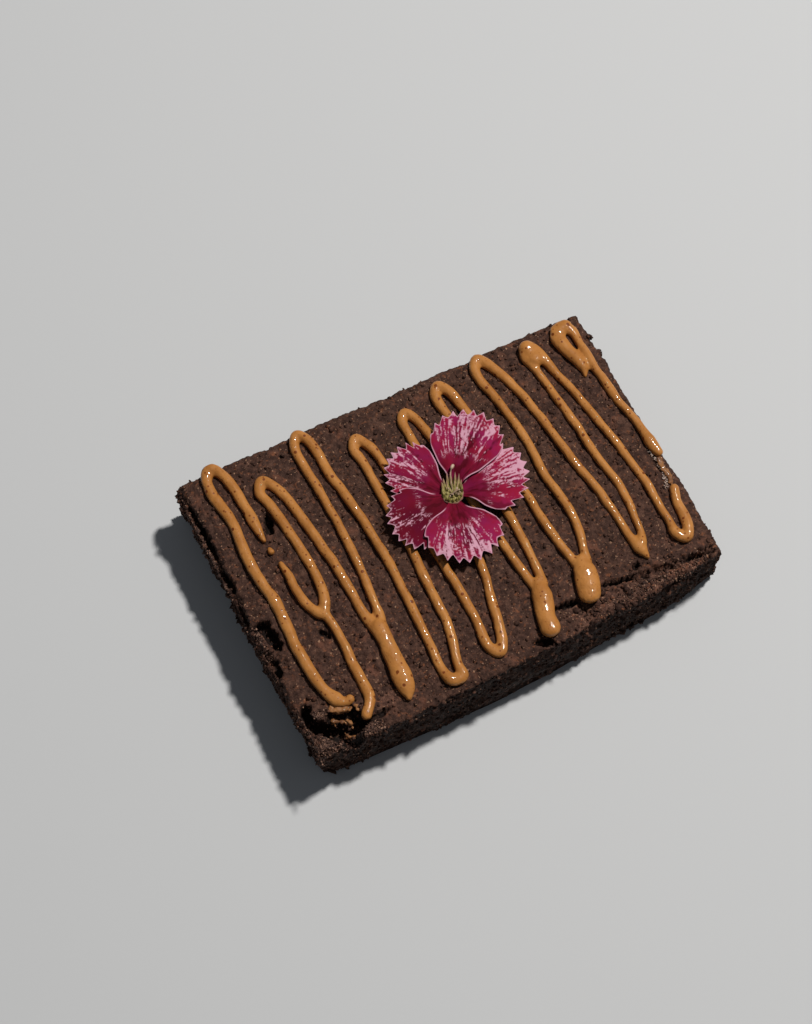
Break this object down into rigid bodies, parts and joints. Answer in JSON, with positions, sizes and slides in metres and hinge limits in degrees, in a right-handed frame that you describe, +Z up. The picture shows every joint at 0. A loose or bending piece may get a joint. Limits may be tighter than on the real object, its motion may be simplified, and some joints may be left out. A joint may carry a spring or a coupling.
{
  "type": "chocolate brownie",
  "caption": "Rectangular chocolate brownie with a piped nut-butter zigzag and a small edible flower on top.",
  "frame": {"origin": "centre of the bounding box in plan, on the flat base", "axes": "+X along the long edge, +Y across to the back edge, +Z up through the drizzled top"},
  "size_m": [0.0936, 0.0672, 0.0208],
  "materials": {
    "crumb": "dry dark cocoa crumb, rough and grainy",
    "drizzle": "glossy tan nut butter with sparse reddish specks",
    "petal": "soft crimson petal with pale streaks and a white toothed margin",
    "throat": "pale yellow-green, finely ribbed"
  },
  "bodies": {
    "root": {"brownie": "crumb", "flower_heart": "throat", "petal_top": "petal", "petal_right": "petal", "petal_bottom": "petal", "petal_lower_left": "petal", "petal_upper_left": "petal"}
  },
  "joints": []
}
